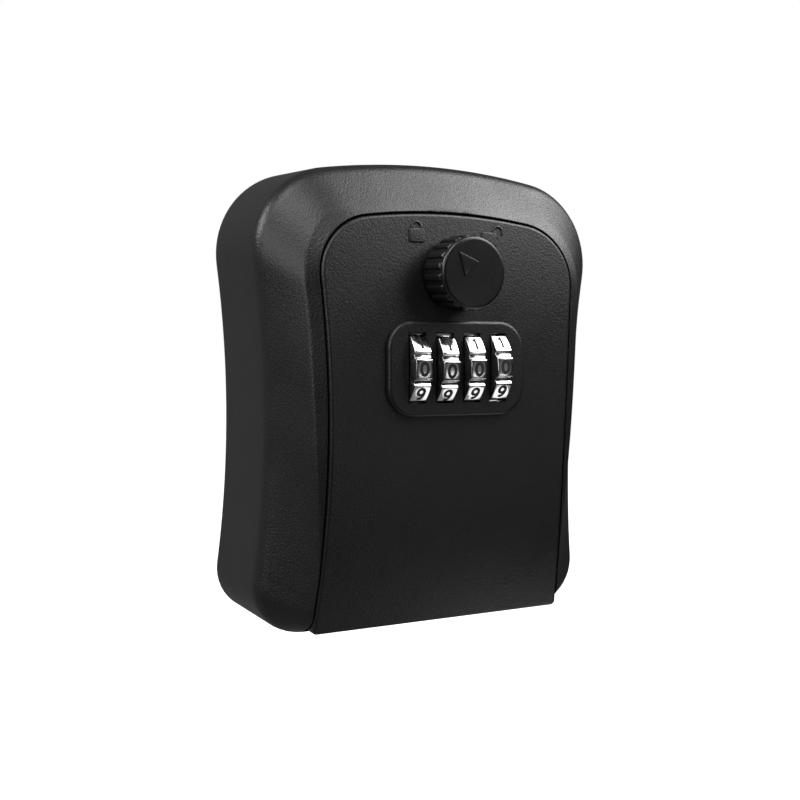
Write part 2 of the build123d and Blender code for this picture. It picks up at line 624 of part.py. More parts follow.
with BuildPart() as knob:
    posts([(0, KNOB_Z)], KNOB_R, KNOB_BACK, KNOB_FRONT)
    fillet(knob.faces().sort_by(Axis.Y)[0].edges(), KNOB_EDGE_R)
    with BuildSketch(Plane.XZ.offset(FLUTE_FROM)):
        with Locations((0, KNOB_Z)):
            with PolarLocations(KNOB_R + 0.35, FLUTES):
                Circle(FLUTE_R)
    extrude(amount=FLUTE_TO - FLUTE_FROM, mode=Mode.SUBTRACT)
    with BuildSketch(Plane.XZ.offset(KNOB_BACK)):
        with Locations((0, KNOB_Z)):
            Circle(SHAFT_R)
        with Locations((SHAFT_FLAT + 2, KNOB_Z)):
            Rectangle(4, 12, mode=Mode.SUBTRACT)
    extrude(amount=SHAFT_FRONT - KNOB_BACK, mode=Mode.SUBTRACT)
    with BuildSketch(Plane.XZ.offset(KNOB_FRONT)):
        with BuildLine():
            Polyline((-4.6, KNOB_Z + 4.9), (1.0, KNOB_Z + 2.7), (-2.7, KNOB_Z - 1.0), close=True)
        make_face()
    extrude(amount=0.3)
knob.part.label = "knob"
export_step(knob.part, "parts/knob.step")

with BuildPart() as knob_shaft:
    posts([(0, KNOB_Z)], SHAFT_R, SHAFT_BACK, SHAFT_FRONT)
    block((SHAFT_FLAT, SHAFT_R + SLACK), (KNOB_BACK, SHAFT_FRONT), (KNOB_Z - 6, KNOB_Z + 6),
          mode=Mode.SUBTRACT)
    block((-TANG / 2, TANG / 2), (SHAFT_BACK - TONGUE_T, SHAFT_BACK), (KNOB_Z - TANG / 2, KNOB_Z + TANG / 2))
    posts([(0, KNOB_Z)], TONGUE_SCREW_R, SHAFT_BACK - TONGUE_T, SHAFT_BACK + 7, mode=Mode.SUBTRACT)
knob_shaft.part.label = "knob_shaft"
export_step(knob_shaft.part, "parts/knob_shaft.step")

with BuildPart() as shaft_cam:
    with BuildSketch(Plane.XZ.offset(FENCE_DEPTH)):
        with Locations((CAM_OFFSET, KNOB_Z + CAM_OFFSET)):
            Circle(CAM_R)
        with Locations((0, KNOB_Z)):
            Circle(SHAFT_R, mode=Mode.SUBTRACT)
    extrude(amount=CAM_T)
shaft_cam.part.label = "shaft_cam"
export_step(shaft_cam.part, "parts/shaft_cam.step")

with BuildPart() as latch_tongue:
    with BuildSketch(Plane.XZ.offset(SHAFT_BACK - TONGUE_T)):
        with Locations((0, KNOB_Z)):
            Circle(TONGUE_HUB_R)
        with Locations((0, KNOB_Z + TONGUE_REACH - TONGUE_END_R)):
            Circle(TONGUE_END_R)
        with Locations((0, KNOB_Z + (TONGUE_REACH - TONGUE_END_R) / 2)):
            Rectangle(2 * TONGUE_END_R, TONGUE_REACH - TONGUE_END_R)
        with Locations((0, KNOB_Z)):
            Rectangle(TANG, TANG, mode=Mode.SUBTRACT)
    extrude(amount=TONGUE_T)
latch_tongue.part.label = "latch_tongue"
export_step(latch_tongue.part, "parts/latch_tongue.step")

washer_back = SHAFT_BACK - TONGUE_T - WASHER_T
with BuildPart() as tongue_washer:
    posts([(0, KNOB_Z)], WASHER_R, washer_back, SHAFT_BACK - TONGUE_T)
    posts([(0, KNOB_Z)], TONGUE_SCREW_R + 0.1, washer_back, SHAFT_BACK - TONGUE_T, mode=Mode.SUBTRACT)
tongue_washer.part.label = "tongue_washer"
export_step(tongue_washer.part, "parts/tongue_washer.step")

with BuildPart() as tongue_screw:
    head_back = washer_back - TONGUE_HEAD
    posts([(0, KNOB_Z)], TONGUE_SCREW_R, washer_back, SHAFT_BACK + 6)
    posts([(0, KNOB_Z)], TONGUE_HEAD_R, head_back, washer_back)
    fillet(tongue_screw.faces().sort_by(Axis.Y)[-1].edges(), 0.7)
    for wide, high in ((CROSS, CROSS_W), (CROSS_W, CROSS)):
        block((-wide, wide), (head_back, head_back + CROSS_DEEP), (KNOB_Z - high, KNOB_Z + high),
              mode=Mode.SUBTRACT)
tongue_screw.part.label = "tongue_screw"
export_step(tongue_screw.part, "parts/tongue_screw.step")

# ---------------------------------------------------------------- wheels and sleeves


def wheel_point(radius, angle):
    """Point of a wheel's side view, by radius and angle from straight ahead."""
    return (-AXLE_DEPTH - radius * cos(angle), AXLE_Z + radius * sin(angle))


def wheel_profile():
    """Corners of the wheel: a flat land for each digit and a groove between lands."""
    points = []
    land_r, land_angle = hypot(LAND, LAND_HALF), LAND_HALF / LAND
    for digit in range(DIGITS):
        middle = 2 * pi * digit / DIGITS
        points += [wheel_point(land_r, middle - land_angle), wheel_point(land_r, middle + land_angle),
                   wheel_point(GROOVE, middle + radians(15.4)), wheel_point(GROOVE, middle + radians(20.6))]
    return points


for number, x in enumerate(WHEELS, 1):
    with BuildPart() as dial_wheel:
        with BuildSketch(Plane.YZ.offset(x - WHEEL_W / 2)):
            with BuildLine():
                Polyline(*wheel_profile(), close=True)
            make_face()
            with Locations((-AXLE_DEPTH, AXLE_Z)):
                Circle(WHEEL_BORE, mode=Mode.SUBTRACT)
        extrude(amount=WHEEL_W)
        with BuildSketch(Plane.YZ.offset(x + WHEEL_W / 2)):
            with Locations((-AXLE_DEPTH, AXLE_Z)):
                with PolarLocations(NOTCH_R, DIGITS):
                    Rectangle(NOTCH_DEEP, LUG + 0.3)
        extrude(amount=-LUG_LONG, mode=Mode.SUBTRACT)
    dial_wheel.part.label = f"dial_wheel_{number}"
    export_step(dial_wheel.part, f"parts/dial_wheel_{number}.step")

    with BuildPart() as gate_sleeve:
        bar(AXLE_DEPTH, AXLE_Z, HUB_R, (x + DISC_X + DISC_T - PITCH + 0.1, x + DISC_X))
        bar(AXLE_DEPTH, AXLE_Z, DISC_R, (x + DISC_X, x + DISC_X + DISC_T))
        with BuildSketch(Plane.YZ.offset(x + DISC_X)):
            with Locations((-AXLE_DEPTH - LUG_R, AXLE_Z)):
                Rectangle(LUG, LUG)
        extrude(amount=-LUG_LONG)
        tooth_middle = (TOOTH_BACK + FENCE_DEPTH + FENCE_T) / 2
        block((x, x + PITCH), (tooth_middle - GATE_W / 2, tooth_middle + GATE_W / 2),
              (AXLE_Z + DISC_R - GATE_DEEP, AXLE_Z + DISC_R + 2), mode=Mode.SUBTRACT)
        bar(AXLE_DEPTH, AXLE_Z, SLEEVE_BORE, (x - PITCH, x + PITCH), mode=Mode.SUBTRACT)
    gate_sleeve.part.label = f"gate_sleeve_{number}"
    export_step(gate_sleeve.part, f"parts/gate_sleeve_{number}.step")

# ---------------------------------------------------------------- fence bar, reset parts, springs

with BuildPart() as fence_bar:
    block((CHEEKS[0][0] - 0.8, CHEEKS[1][1] + 0.8), (FENCE_DEPTH, FENCE_DEPTH + FENCE_T),
          (FENCE_Z, FENCE_Z + FENCE_H))
    for x in WHEELS:
        middle = x + DISC_X + DISC_T / 2
        block((middle - TOOTH_T / 2, middle + TOOTH_T / 2), (TOOTH_BACK, FENCE_DEPTH + FENCE_T),
              (TOOTH_TIP, FENCE_Z))
fence_bar.part.label = "fence_bar"
export_step(fence_bar.part, "parts/fence_bar.step")

with BuildPart() as reset_lever:
    flange_back = CHASSIS_BACK + CHASSIS_T + 0.2
    block((TAB_X - TAB / 2, TAB_X + TAB / 2), (TAB_BACK, flange_back), (TAB_Z - TAB / 2, TAB_Z + TAB / 2))
    block((TAB_X - LEVER_FLANGE / 2, TAB_X + LEVER_FLANGE / 2), (flange_back, flange_back + LEVER_T),
          (TAB_Z - LEVER_FLANGE / 2, TAB_Z + LEVER_FLANGE / 2))
    posts([(TAB_X, TAB_Z)], PEG_R, flange_back, FORK_DEPTH + FORK_T + 0.1)
reset_lever.part.label = "reset_lever"
export_step(reset_lever.part, "parts/reset_lever.step")

with BuildPart() as reset_fork:
    block((FORK_X, -3.5), (FORK_DEPTH, FORK_DEPTH + FORK_T), (-17, -7.1))
    block((FORK_X, FORK_X + FORK_T), (FORK_DEPTH, FORK_FRONT), (-9.5, -3.5))
    block((FORK_X, FORK_X + FORK_T), (31.6, FORK_FRONT), (-4, FORK_TOP))
    block((FORK_X, FORK_X + FORK_T), (AXLE_DEPTH - AXLE_R - SLACK, BEYOND),
          (AXLE_Z - AXLE_R - SLACK, AXLE_Z + AXLE_R + SLACK), mode=Mode.SUBTRACT)
    with BuildSketch(Plane.XZ.offset(FORK_DEPTH)):
        with Locations((TAB_X - SHIFT / 2, TAB_Z + LEVER_TRAVEL / 2)):
            SlotCenterToCenter(hypot(SHIFT, LEVER_TRAVEL) + SLACK, 2 * PEG_R + SLACK,
                               rotation=degrees(atan2(LEVER_TRAVEL, -SHIFT)))
    extrude(amount=FORK_T, mode=Mode.SUBTRACT)
reset_fork.part.label = "reset_fork"
export_step(reset_fork.part, "parts/reset_fork.step")

with BuildPart() as fence_springs:
    for x in SPRING_X:
        with BuildLine() as coil:
            Helix(pitch=0.94, height=4.7, radius=SPRING_R,
                  center=(x, -SPRING_DEPTH, LEDGE_Z + LEDGE_T + 0.3))
        with BuildSketch(Plane(origin=coil.line @ 0, z_dir=coil.line % 0)):
            Circle(SPRING_WIRE_R)
        sweep()
fence_springs.part.label = "fence_springs"
export_step(fence_springs.part, "parts/fence_springs.step")

with BuildPart() as sleeve_spring:
    start = WHEELS[-1] + DISC_X + DISC_T + 0.35
    with BuildLine() as coil:
        Helix(pitch=0.87, height=CHEEKS[1][0] - 0.35 - start, radius=SLEEVE_SPRING_R,
              center=(start, -AXLE_DEPTH, AXLE_Z), direction=(1, 0, 0))
    with BuildSketch(Plane(origin=coil.line @ 0, z_dir=coil.line % 0)):
        Circle(SLEEVE_SPRING_WIRE_R)
    sweep()
sleeve_spring.part.label = "sleeve_spring"
export_step(sleeve_spring.part, "parts/sleeve_spring.step")
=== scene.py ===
"""Looks of the key lock box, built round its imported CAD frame. Sizes are in millimetres and
are turned into metres as points are made. A depth is a distance from the wall, towards -Y."""

import math

import bmesh
import bpy
from mathutils import Matrix, Vector


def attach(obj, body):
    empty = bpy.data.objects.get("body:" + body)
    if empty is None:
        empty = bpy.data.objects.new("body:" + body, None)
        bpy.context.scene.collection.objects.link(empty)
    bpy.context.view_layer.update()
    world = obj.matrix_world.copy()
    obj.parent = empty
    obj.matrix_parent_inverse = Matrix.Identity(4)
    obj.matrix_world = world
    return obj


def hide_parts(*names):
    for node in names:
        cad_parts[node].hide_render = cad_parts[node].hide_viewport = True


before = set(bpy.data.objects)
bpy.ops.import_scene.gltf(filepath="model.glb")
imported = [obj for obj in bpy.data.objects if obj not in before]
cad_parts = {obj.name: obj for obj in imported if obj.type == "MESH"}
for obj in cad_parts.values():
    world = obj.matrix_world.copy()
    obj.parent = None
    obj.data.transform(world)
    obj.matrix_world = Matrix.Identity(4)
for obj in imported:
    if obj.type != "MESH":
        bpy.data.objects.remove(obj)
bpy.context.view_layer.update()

MM = 0.001
# A step of the length by which a cutter or a sunk shape runs on past a face
RUN_ON = 0.1

# Outlines of the case, the bevel round its rim, the door and the key tray
CASE = dict(waist=45.5, waist_z=-9.6, side_r=297.2, corner_r=21.6, dome_r=193.8, top=58.99,
            bottom=-59.0, bottom_r=12.2)
BEVEL = dict(waist=35.4, waist_z=6.0, side_r=-290.0, corner_r=14.0, dome_r=150.0, top=37.7,
             bottom=-54.8, bottom_r=1.0)
DOOR = dict(waist=33.8, waist_z=-14.1, side_r=486.3, corner_r=14.7, dome_r=163.0, top=45.65,
            bottom=-57.1, bottom_r=1.2)
POCKET = DOOR | dict(bottom=-55.5, bottom_r=3.0)
TRAY = DOOR | dict(bottom=-51.5, bottom_r=3.0)
DOORWAY = DOOR | dict(bottom=-70.0)
DRAFT = 0.55
RIDGE_DEPTH = 27.4
RIDGE_R = 4.8
BEVEL_DEPTH = 42.0
DOME_R = 285.0
DOME_DEPTH = 40.9
DOME_Z = -5.2
RIM_DROP = 0.4
LAND_SLOPE = math.radians(23)
LAND_R = 0.9
LIP_R = 0.3
BACK_R = 0.5
SMALLEST_R = 0.3
GAP = 0.4
TRAY_ROOM = 3.0
PLATE = 1.5
PLATE_INSET = 1.2
PLATE_AIM = 0.6
CORE_DEPTH = 23.0

# Hinge and strike, for the room that they need in the case. A strike cut is half width, low Z, high Z
HINGE_DEPTH = 32.0
HINGE_Z = -50.5
BARREL_R = 8.2
BARREL_X = 35.0
FOOT_X = 36.2
DOORWAY_FRONT = 60.0
DOORWAY_INSET = 0.04
STRIKE_ROOM = (13.1, 40.0, 53.1)
STRIKE_RECESS = (10.2, 42.0, 48.0)
STRIKE_DEPTH = 1.0

# Knob. A rib fills RIB_SHARE of its pitch
KNOB_Z = 31.0
KNOB_BACK = 38.5
KNOB_FRONT = 48.5
KNOB_FACE_R = 8.85
KNOB_BODY_R = 8.65
KNOB_EDGE_R = 0.9
RIBS = 20
RIB_UP = 0.55
RIB_BACK = 39.4
RIB_FRONT = 47.3
RIB_END = 0.8
RIB_SHARE = 0.62
KNOB_BACK_EDGE = 0.25
POINTER = ((-4.6, 4.9), (1.0, 2.7), (-2.7, -1.0))
POINTER_UP = 0.3
POINTER_EDGE = 0.14

# Padlock marks on the door
MARK_Z = 40.0
MARK_W = 4.5
MARK_H = 3.5
MARK_R = 0.75
MARK_UP = 0.34
MARK_EDGE = 0.25
MARK_CUSHION = 0.6
MARK_CROWN = 0.02
SHACKLE_R = 1.35
SHACKLE_T = 0.36
SHACKLE_RISE = 2.0
SHACKLE_LEG = 0.7
LOCKED_X = -10.0
OPEN_X = 10.8
SHACKLE_OPEN = 2.7

# Wheels and their digits. Angles are in degrees
AXLE_DEPTH = 35.25
AXLE_Z = 7.4
PITCH = 7.7
WHEEL_W = 4.5
DIGITS = 10
LAND = 10.35
LAND_HALF = 2.35
LAND_CROWN = 0.14
GROOVE = 9.8
GROOVE_FLOOR = (15.4, 20.6)
WHEEL_BORE = 3.35
WHEEL_EDGE = 0.16
DIGIT_H = 3.7
DIGIT_W = 2.9
DIGIT_STROKE = 0.8
STROKE_MITRE = 0.6
STROKE_STEP = 0.001
ENGRAVED = 0.12
PAINT_DOWN = 0.05
WHEEL_TURN = (1.4, -1.7, 0.6, 3.6)


# ---------------------------------------------------------------- outlines and skins


def towards(centre, point, distance):
    """The point at a distance from a centre, in the direction of another point."""
    dx, dz = point[0] - centre[0], point[1] - centre[1]
    return (centre[0] + distance * dx / math.hypot(dx, dz), centre[1] + distance * dz / math.hypot(dx, dz))


def circle_meeting(a, a_r, b, b_r):
    """The right-hand point at distance a_r from a and b_r from b."""
    dx, dz = b[0] - a[0], b[1] - a[1]
    apart = math.hypot(dx, dz)
    along = (a_r**2 - b_r**2 + apart**2) / (2 * apart)
    across = math.sqrt(a_r**2 - along**2)
    base = (a[0] + along * dx / apart, a[1] + along * dz / apart)
    ends = [(base[0] + s * across * dz / apart, base[1] - s * across * dx / apart) for s in (-1, 1)]
    return max(ends, key=lambda p: p[1])


def arc_points(centre, start, end, steps):
    """Points along the shorter arc from start to end, without the last one."""
    a = math.atan2(start[1] - centre[1], start[0] - centre[0])
    turn = math.atan2(end[1] - centre[1], end[0] - centre[0]) - a
    turn = (turn + math.pi) % (2 * math.pi) - math.pi
    radius = math.dist(centre, start)
    angles = [a + turn * i / steps for i in range(steps)]
    return [(centre[0] + radius * math.cos(t), centre[1] + radius * math.sin(t)) for t in angles]


def outline(shape, grow=0.0):
    """Points (x, z) round a closed outline from the middle of the bottom, the same count for each."""
    waist, side_r = shape["waist"] + grow, shape["side_r"] - grow
    corner_r, bottom_r = shape["corner_r"] + grow, max(shape["bottom_r"] + grow, SMALLEST_R)
    dome_r, top, bottom = shape["dome_r"] + grow, shape["top"] + grow, shape["bottom"] - grow
    side, dome = (waist + side_r, shape["waist_z"]), (0.0, top - dome_r)
    corner = circle_meeting(side, abs(side_r + corner_r), dome, dome_r - corner_r)
    low_z = bottom + bottom_r
    reach = math.sqrt((side_r + bottom_r) ** 2 - (low_z - side[1]) ** 2)
    low = (side[0] - math.copysign(reach, side_r), low_z)
    foot, heel = (low[0], bottom), towards(side, low, abs(side_r))
    shoulder, crown = towards(side, corner, abs(side_r)), towards(dome, corner, dome_r)
    right = [(foot[0] * i / 10, bottom) for i in range(10)]
    right += arc_points(low, foot, heel, 12)
    right += arc_points(side, heel, shoulder, 32)
    right += arc_points(corner, shoulder, crown, 20)
    right += arc_points(dome, crown, (0.0, top), 14)
    left = [(-x, z) for x, z in reversed(right[1:])]
    return right + [(0.0, top)] + left


def point(x, depth, z):
    """A point in the row frame, in metres."""
    return Vector((x * MM, -depth * MM, z * MM))


def dome_depth(z):
    """Depth of the domed front face at a height."""
    return DOME_DEPTH - DOME_R + math.sqrt(DOME_R**2 - (z - DOME_Z) ** 2)


def rounded(corners, radii, steps):
    """A path through corner points, with an arc of its own radius at each inner corner."""
    path = [corners[0]]
    for i in range(1, len(corners) - 1):
        back, ahead = corners[i - 1] - corners[i], corners[i + 1] - corners[i]
        if radii[i] == 0:
            path.append(corners[i])
            continue
        half = back.angle(ahead) / 2
        reach = min(radii[i] / math.tan(half), 0.45 * back.length, 0.45 * ahead.length)
        back, ahead = back.normalized(), ahead.normalized()
        centre = corners[i] + (back + ahead).normalized() * (reach / math.cos(half))
        start, end = corners[i] + back * reach - centre, corners[i] + ahead * reach - centre
        turn = start.angle(end)
        for step in range(steps + 1):
            share = step / steps
            a, b = math.sin((1 - share) * turn), math.sin(share * turn)
            path.append(centre + (start * a + end * b) / math.sin(turn))
    path.append(corners[-1])
    return path


def with_supports(path, share=0.06):
    """Adds points near the ends of each long run, so that smooth shading stays at the corners."""
    longest = 1.2 * MM
    out = [path[0]]
    for a, b in zip(path, path[1:]):
        if (b - a).length > longest:
            out += [a.lerp(b, share), a.lerp(b, 0.5), a.lerp(b, 1 - share)]
        out.append(b)
    return out


def mesh_object(name, vertices, faces):
    """A new object with this mesh, in the scene."""
    mesh = bpy.data.meshes.new(name)
    mesh.from_pydata([tuple(v) for v in vertices], [], faces)
    mesh.update()
    made = bpy.data.objects.new(name, mesh)
    bpy.context.scene.collection.objects.link(made)
    return made


def skin(name, rings, closed=True):
    """Quads between closed rings of equal count. The last ring joins the first, or both ends are capped."""
    count = len(rings[0])
    faces = []
    for r in range(len(rings) if closed else len(rings) - 1):
        a, b = r * count, (r + 1) % len(rings) * count
        for i in range(count):
            j = (i + 1) % count
            faces.append((a + i, a + j, b + j, b + i))
    if not closed:
        faces.append(tuple(range(count - 1, -1, -1)))
        faces.append(tuple(range((len(rings) - 1) * count, len(rings) * count)))
    made = mesh_object(name, [v for ring in rings for v in ring], faces)
    tidy_normals(made)
    return made


def tidy_normals(obj):
    """Merges double points and turns all faces outwards."""
    made = bmesh.new()
    made.from_mesh(obj.data)
    bmesh.ops.remove_doubles(made, verts=made.verts, dist=1e-7)
    bmesh.ops.recalc_face_normals(made, faces=made.faces)
    made.to_mesh(obj.data)
    made.free()


def prism(name, points, back, front):
    """A solid with this (x, z) outline between two depths."""
    return skin(name, [[point(x, depth, z) for x, z in points] for depth in (back, front)], closed=False)


def slab(name, size, back, front):
    """A block between two depths, its size as half width, low and high Z."""
    half, low, high = size
    return prism(name, [(-half, low), (half, low), (half, high), (-half, high)], back, front)


def rod(name, depth, z, x, radius, start=0.0, end=2 * math.pi, steps=72):
    """A solid along X with a round, or part-round, section."""
    angles = [start + (end - start) * i / steps for i in range(steps + (end - start < 6.28))]
    section = [(depth + radius * math.cos(a), z + radius * math.sin(a)) for a in angles]
    return skin(name, [[point(side, d, h) for d, h in section] for side in x], closed=False)


def apply_modifiers(obj):
    """Replaces an object's mesh by what its modifiers make of it."""
    bpy.context.view_layer.update()
    graph = bpy.context.evaluated_depsgraph_get()
    mesh = bpy.data.meshes.new_from_object(obj.evaluated_get(graph))
    obj.modifiers.clear()
    obj.data = mesh


def cut(obj, cutters, operation="DIFFERENCE"):
    """Cuts solids out of an object and removes them from the scene."""
    for cutter in cutters:
        change = obj.modifiers.new("cut", "BOOLEAN")
        change.operation = operation
        change.solver = "EXACT"
        change.object = cutter
        apply_modifiers(obj)
        bpy.data.objects.remove(cutter)


def round_edges(obj, width, steps=3, angle=30):
    """Rounds the sharp edges of an object."""
    bevel = obj.modifiers.new("round", "BEVEL")
    bevel.width = width * MM
    bevel.segments = steps
    bevel.limit_method = "ANGLE"
    bevel.angle_limit = math.radians(angle)
    apply_modifiers(obj)


def shade(obj, angle=35):
    """Smooth shading, broken at sharp edges."""
    for polygon in obj.data.polygons:
        polygon.use_smooth = True
    obj.data.set_sharp_from_angle(angle=math.radians(angle))


def piece(obj, body, material, replaces=()):
    """Gives a piece its body and material, and hides the CAD nodes that it stands for."""
    obj.data.materials.clear()
    obj.data.materials.append(material)
    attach(obj, body)
    if replaces:
        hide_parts(*replaces)


# ---------------------------------------------------------------- materials


class Nodes:
    """A short way to wire a material."""

    def __init__(self, name):
        self.material = bpy.data.materials.new(name)
        self.material.use_nodes = True
        self.tree = self.material.node_tree
        self.shader = self.tree.nodes["Principled BSDF"]
        self.place = self.tree.nodes.new("ShaderNodeTexCoord").outputs["Object"]

    def add(self, kind, **inputs):
        node = self.tree.nodes.new(kind)
        for key, value in inputs.items():
            self.put(node.inputs[key.replace("_", " ")], value)
        return node

    def put(self, socket, value):
        if isinstance(value, bpy.types.NodeSocket):
            self.tree.links.new(value, socket)
        else:
            socket.default_value = value

    def noise(self, scale, detail=2.0, rough=0.5, stretch=(1, 1, 1)):
        """Noise over the object, its scale in cells per metre."""
        place = self.add("ShaderNodeMapping", Vector=self.place, Scale=stretch).outputs["Vector"]
        made = self.add("ShaderNodeTexNoise", Vector=place, Scale=scale, Detail=detail, Roughness=rough)
        return made.outputs["Fac"]

    def spread(self, value, low, high, start=0.3, end=0.7):
        """Maps a noise value from start..end to low..high."""
        made = self.tree.nodes.new("ShaderNodeMapRange")
        for socket, number in zip(made.inputs, (value, start, end, low, high)):
            self.put(socket, number)
        return made.outputs["Result"]

    def blend(self, value, dark, light):
        """A colour between two, by a value from 0 to 1."""
        ramp = self.tree.nodes.new("ShaderNodeValToRGB")
        ramp.color_ramp.elements[0].color = (*dark, 1)
        ramp.color_ramp.elements[1].color = (*light, 1)
        self.put(ramp.inputs["Fac"], value)
        return ramp.outputs["Color"]

    def bump(self, height, distance, strength=1.0, onto=None):
        made = self.add("ShaderNodeBump", Height=height, Distance=distance, Strength=strength)
        if onto is not None:
            self.put(made.inputs["Normal"], onto)
        return made.outputs["Normal"]

    def finish(self, **inputs):
        for key, value in inputs.items():
            self.put(self.shader.inputs[key.replace("_", " ")], value)
        return self.material


def moulded(name, dark, light, rough, grain=1.0, level=0.5):
    """Moulded plastic: a spark-eroded grain, with faint flow marks and rubbed patches."""
    n = Nodes(name)
    fine, coarse = n.noise(3400, 1, 0.5), n.noise(1800, 1, 0.5)
    flow = n.noise(35, 3, 0.6, (1, 1, 0.4))
    patch = n.noise(90, 4, 0.6)
    colour = n.blend(n.spread(flow, 0, 1), dark, light)
    roughness = n.spread(patch, rough - 0.04, rough + 0.04)
    grain_up = n.bump(fine, 0.00007 * grain, 0.6)
    normal = n.bump(coarse, 0.00013 * grain, 0.6, grain_up)
    return n.finish(Base_Color=colour, Roughness=roughness, Normal=normal, Specular_IOR_Level=level)


def plated(name, dark, light, rough, scratch=1.0):
    """Plated metal: bright, with fine lines from handling."""
    n = Nodes(name)
    lines, cloud = n.noise(900, 3, 0.6, (0.15, 1, 1)), n.noise(220, 3, 0.6)
    colour = n.blend(n.spread(cloud, 0, 1), dark, light)
    roughness = n.spread(cloud, rough - 0.04, rough + 0.07)
    normal = n.bump(lines, 0.00001 * scratch, 0.5)
    return n.finish(Base_Color=colour, Metallic=1.0, Roughness=roughness, Normal=normal)


def brushed(name, dark, light, rough, stretch=(0.03, 1, 1)):
    """Sheet or turned metal with a drawn grain."""
    n = Nodes(name)
    lines, cloud = n.noise(2600, 4, 0.7, stretch), n.noise(120, 3, 0.6)
    colour = n.blend(n.spread(cloud, 0, 1), dark, light)
    roughness = n.spread(lines, rough - 0.07, rough + 0.08)
    normal = n.bump(lines, 0.00002, 0.5)
    return n.finish(Base_Color=colour, Metallic=1.0, Roughness=roughness, Normal=normal)


def coated(name, dark, light, rough):
    """Powder coat: a fine orange-peel skin over metal."""
    n = Nodes(name)
    peel, patch = n.noise(1100, 2, 0.5), n.noise(60, 3, 0.5)
    colour = n.blend(n.spread(patch, 0, 1), dark, light)
    return n.finish(Base_Color=colour, Roughness=n.spread(patch, rough - 0.05, rough + 0.05),
                    Normal=n.bump(peel, 0.00006, 0.5))


case_plastic = moulded("case_plastic", (0.010, 0.010, 0.0105), (0.014, 0.014, 0.0145), 0.36, 0.8)
door_plastic = moulded("door_plastic", (0.009, 0.009, 0.0095), (0.012, 0.012, 0.0125), 0.37, 0.8)
knob_plastic = moulded("knob_plastic", (0.007, 0.007, 0.0072), (0.010, 0.010, 0.0104), 0.3, 0.25, 0.65)
lever_plastic = moulded("lever_plastic", (0.42, 0.42, 0.40), (0.50, 0.50, 0.48), 0.4, 0.5)
wheel_chrome = plated("wheel_chrome", (0.74, 0.74, 0.75), (0.84, 0.84, 0.84), 0.14)
digit_paint = coated("digit_paint", (0.004, 0.004, 0.004), (0.008, 0.008, 0.008), 0.6)
MATERIALS = {
    "case_plastic": case_plastic,
    "door_plastic": door_plastic,
    "knob_plastic": knob_plastic,
    "lever_plastic": lever_plastic,
    "wheel_chrome": wheel_chrome,
    "sleeve_brass": brushed("sleeve_brass", (0.62, 0.46, 0.20), (0.74, 0.58, 0.30), 0.3, (1, 0.05, 0.05)),
    "bush_brass": brushed("bush_brass", (0.60, 0.44, 0.19), (0.72, 0.56, 0.28), 0.32, (1, 0.05, 0.05)),
    "zinc_plated_steel": plated("zinc_plated_steel", (0.50, 0.51, 0.53), (0.62, 0.63, 0.64), 0.32, 2.0),
    "cover_steel": coated("cover_steel", (0.030, 0.030, 0.031), (0.042, 0.042, 0.043), 0.5),
    "screw_steel": plated("screw_steel", (0.52, 0.52, 0.52), (0.66, 0.66, 0.65), 0.28, 1.5),
    "pin_steel": brushed("pin_steel", (0.55, 0.55, 0.56), (0.68, 0.68, 0.68), 0.25, (1, 0.04, 0.04)),
    "spring_steel": plated("spring_steel", (0.36, 0.36, 0.37), (0.48, 0.48, 0.48), 0.3, 1.5),
}
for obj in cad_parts.values():
    for material_slot in obj.material_slots:
        material_slot.material = MATERIALS[material_slot.material.name.split(".")[0]]


# ---------------------------------------------------------------- case


def bevel_end(ridge, far, drop):
    """Where the bevel, a straight line from the ridge, comes down to the front face less a drop."""
    low, high = 0.0, 1.0
    for _ in range(40):
        share = (low + high) / 2
        z, depth = ridge[1] + share * (far[1] - ridge[1]), RIDGE_DEPTH + share * (BEVEL_DEPTH - RIDGE_DEPTH)
        low, high = (share, high) if depth < dome_depth(z) - drop else (low, share)
    x = ridge[0] + low * (far[0] - ridge[0])
    return x, depth, z


def case_path(base, ridge, far, mouth, room):
    """One section of the case's wall, from the key tray's room round the outside to the door opening."""
    land_drop = 0.0
    for _ in range(3):
        edge_x, edge_depth, edge_z = bevel_end(ridge, far, RIM_DROP + land_drop)
        land_drop = math.dist((edge_x, edge_z), mouth) * math.tan(LAND_SLOPE)
    inner = towards(base, (0.0, base[1] * PLATE_AIM), PLATE_INSET)
    corners = [
        point(room[0], CORE_DEPTH, room[1]), point(room[0], PLATE, room[1]),
        point(inner[0], PLATE, inner[1]), point(inner[0], 0, inner[1]), point(base[0], 0, base[1]),
        point(ridge[0], RIDGE_DEPTH, ridge[1]), point(edge_x, edge_depth, edge_z),
        point(mouth[0], dome_depth(mouth[1]) - RIM_DROP, mouth[1]), point(mouth[0], CORE_DEPTH, mouth[1]),
    ]
    radii = [r * MM for r in (0, 0, 0, 0, BACK_R, RIDGE_R, LAND_R, LIP_R, 0)]
    return with_supports(rounded(corners, radii, 6))


